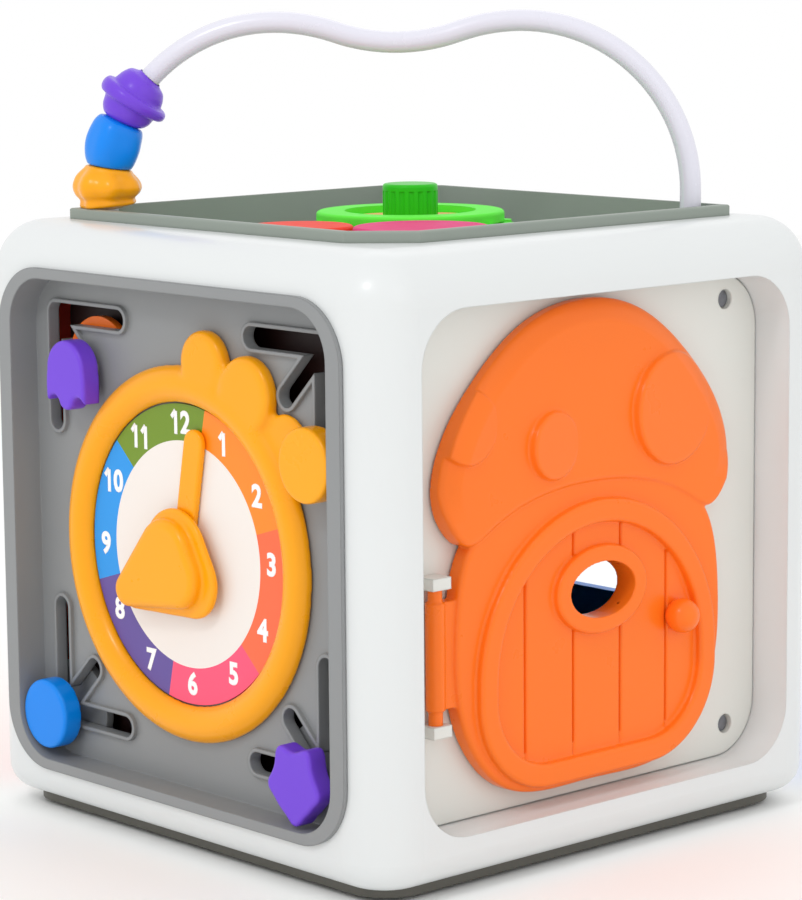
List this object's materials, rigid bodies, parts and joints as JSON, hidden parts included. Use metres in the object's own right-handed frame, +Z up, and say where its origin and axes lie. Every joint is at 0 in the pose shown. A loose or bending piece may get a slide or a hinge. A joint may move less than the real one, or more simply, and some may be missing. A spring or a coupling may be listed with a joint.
{
  "type": "baby activity cube",
  "caption": "Cube-shaped toddler toy with a clock panel, hinged mushroom door, gear tray, bead handle, music keys and shape sorter.",
  "frame": {"origin": "centre of the footprint on the floor", "axes": "+Z up, the clock faces -Y, the mushroom door faces +X, the music keys face -X and the shape sorter faces +Y"},
  "size_m": [0.1726, 0.1726, 0.226],
  "materials": {
    "shell_plastic": "satin",
    "tray_plastic": "satin",
    "yellow_plastic": "gloss",
    "orange_plastic": "gloss",
    "blue_plastic": "gloss",
    "purple_plastic": "gloss",
    "green_plastic": "gloss",
    "light_green_plastic": "gloss",
    "coral_plastic": "gloss",
    "pink_plastic": "gloss",
    "white_plastic": "gloss",
    "dial_plastic": "printed",
    "base_plastic": "matte",
    "foot_rubber": "matte",
    "dome_rubber": "matte",
    "steel": "plated",
    "cell_wrap": "printed",
    "board_laminate": "solder mask"
  },
  "bodies": {
    "body": {"body_shell": "shell_plastic", "clock_tray": "tray_plastic", "clock_bezel": "yellow_plastic", "clock_dial": "dial_plastic", "clock_spindle": "white_plastic", "clock_cover": "base_plastic", "clock_cover_screws": "steel", "door_panel": "shell_plastic", "door_panel_screws": "steel", "top_tray": "tray_plastic", "top_tray_screws": "steel", "gear_axles": "steel", "handle_tube": "shell_plastic", "handle_clips": "steel", "base_plate": "base_plastic", "base_screws": "steel", "feet": "foot_rubber", "battery_door": "base_plastic", "battery_door_screw": "steel", "battery_box": "base_plastic", "batteries": "cell_wrap", "battery_contacts": "steel", "music_panel": "coral_plastic", "circuit_board": "board_laminate", "board_screws": "steel", "key_domes": "dome_rubber", "speaker_basket": "steel", "speaker_magnet": "steel", "power_switch_case": "base_plastic", "sorter_panel": "blue_plastic"},
    "door": {"mushroom_door": "orange_plastic", "door_knob": "orange_plastic"},
    "minute_hand": {"minute_hand": "yellow_plastic"},
    "hour_hand": {"hour_hand": "yellow_plastic"},
    "green_gear": {"green_gear": "light_green_plastic", "gear_knob": "green_plastic"},
    "pink_gear": {"pink_gear": "pink_plastic"},
    "red_gear": {"red_gear": "coral_plastic"},
    "orange_bead": {"orange_bead": "yellow_plastic"},
    "blue_bead": {"blue_bead": "blue_plastic"},
    "purple_bead": {"purple_bead": "purple_plastic"},
    "power_switch": {"power_switch_knob": "white_plastic"},
    "slider_ghost": {"slider_ghost": "purple_plastic", "slider_ghost_retainer": "orange_plastic", "slider_ghost_screw": "steel"},
    "slider_yellow": {"slider_yellow": "yellow_plastic", "slider_yellow_retainer": "tray_plastic", "slider_yellow_screw": "steel"},
    "slider_blue": {"slider_blue": "blue_plastic", "slider_blue_retainer": "tray_plastic", "slider_blue_screw": "steel"},
    "slider_bear": {"slider_bear": "purple_plastic", "slider_bear_retainer": "tray_plastic", "slider_bear_screw": "steel"},
    "key_1": {"music_key_1": "orange_plastic"},
    "key_2": {"music_key_2": "yellow_plastic"},
    "key_3": {"music_key_3": "light_green_plastic"},
    "key_4": {"music_key_4": "pink_plastic"},
    "key_5": {"music_key_5": "white_plastic"}
  },
  "joints": [
    {"name": "door_hinge", "type": "hinge", "parent": "body", "child": "door", "pos_m": [0.0756, -0.057, 0.062], "axis": [0, 0, -1], "range_deg": [0, 110]},
    {"name": "minute_hand_spin", "type": "hinge", "parent": "body", "child": "minute_hand", "pos_m": [0, -0.0793, 0.082], "axis": [0, 1, 0], "continuous": true},
    {"name": "hour_hand_spin", "type": "hinge", "parent": "body", "child": "hour_hand", "pos_m": [0, -0.083, 0.082], "axis": [0, 1, 0], "continuous": true},
    {"name": "green_gear_spin", "type": "hinge", "parent": "body", "child": "green_gear", "pos_m": [0.0018, 0.003, 0.164], "axis": [0, 0, 1], "continuous": true},
    {"name": "pink_gear_spin", "type": "hinge", "parent": "body", "child": "pink_gear", "pos_m": [0.0377, -0.02576, 0.164], "axis": [0, 0, 1], "continuous": true},
    {"name": "red_gear_spin", "type": "hinge", "parent": "body", "child": "red_gear", "pos_m": [0.00968, -0.04502, 0.164], "axis": [0, 0, 1], "continuous": true},
    {"name": "ghost_slide", "type": "slide", "parent": "body", "child": "slider_ghost", "axis": [-0.7071, 0, 0.7071], "range_m": [0, 0.015]},
    {"name": "yellow_slide", "type": "slide", "parent": "body", "child": "slider_yellow", "axis": [0, 0, 1], "range_m": [0, 0.027]},
    {"name": "blue_slide", "type": "slide", "parent": "body", "child": "slider_blue", "axis": [1, 0, 0], "range_m": [0, 0.024]},
    {"name": "bear_slide", "type": "slide", "parent": "body", "child": "slider_bear", "axis": [-1, 0, 0], "range_m": [-0.0045, 0.015]},
    {"name": "orange_bead_ride", "type": "hinge", "parent": "body", "child": "orange_bead", "pos_m": [-0.0244, -0.0244, 0.1755], "axis": [-0.7071, 0.7071, 0], "range_deg": [0, 15]},
    {"name": "blue_bead_ride", "type": "hinge", "parent": "orange_bead", "child": "blue_bead", "pos_m": [-0.0244, -0.0244, 0.1755], "axis": [-0.7071, 0.7071, 0], "range_deg": [0, 15]},
    {"name": "purple_bead_ride", "type": "hinge", "parent": "blue_bead", "child": "purple_bead", "pos_m": [-0.0244, -0.0244, 0.1755], "axis": [-0.7071, 0.7071, 0], "range_deg": [0, 20]},
    {"name": "key_1_press", "type": "slide", "parent": "body", "child": "key_1", "axis": [1, 0, 0], "range_m": [0, 0.0018], "stiffness_N_per_m": 300},
    {"name": "key_2_press", "type": "slide", "parent": "body", "child": "key_2", "axis": [1, 0, 0], "range_m": [0, 0.0018], "stiffness_N_per_m": 300},
    {"name": "key_3_press", "type": "slide", "parent": "body", "child": "key_3", "axis": [1, 0, 0], "range_m": [0, 0.0018], "stiffness_N_per_m": 300},
    {"name": "key_4_press", "type": "slide", "parent": "body", "child": "key_4", "axis": [1, 0, 0], "range_m": [0, 0.0018], "stiffness_N_per_m": 300},
    {"name": "key_5_press", "type": "slide", "parent": "body", "child": "key_5", "axis": [1, 0, 0], "range_m": [0, 0.0018], "stiffness_N_per_m": 300},
    {"name": "power_switch_slide", "type": "slide", "parent": "body", "child": "power_switch", "axis": [0, 0, 1], "range_m": [0, 0.006]}
  ],
  "couplings": [
    {"joint": "pink_gear_spin", "follows": "green_gear_spin", "ratio": -1.5556},
    {"joint": "red_gear_spin", "follows": "green_gear_spin", "ratio": 1.75}
  ]
}
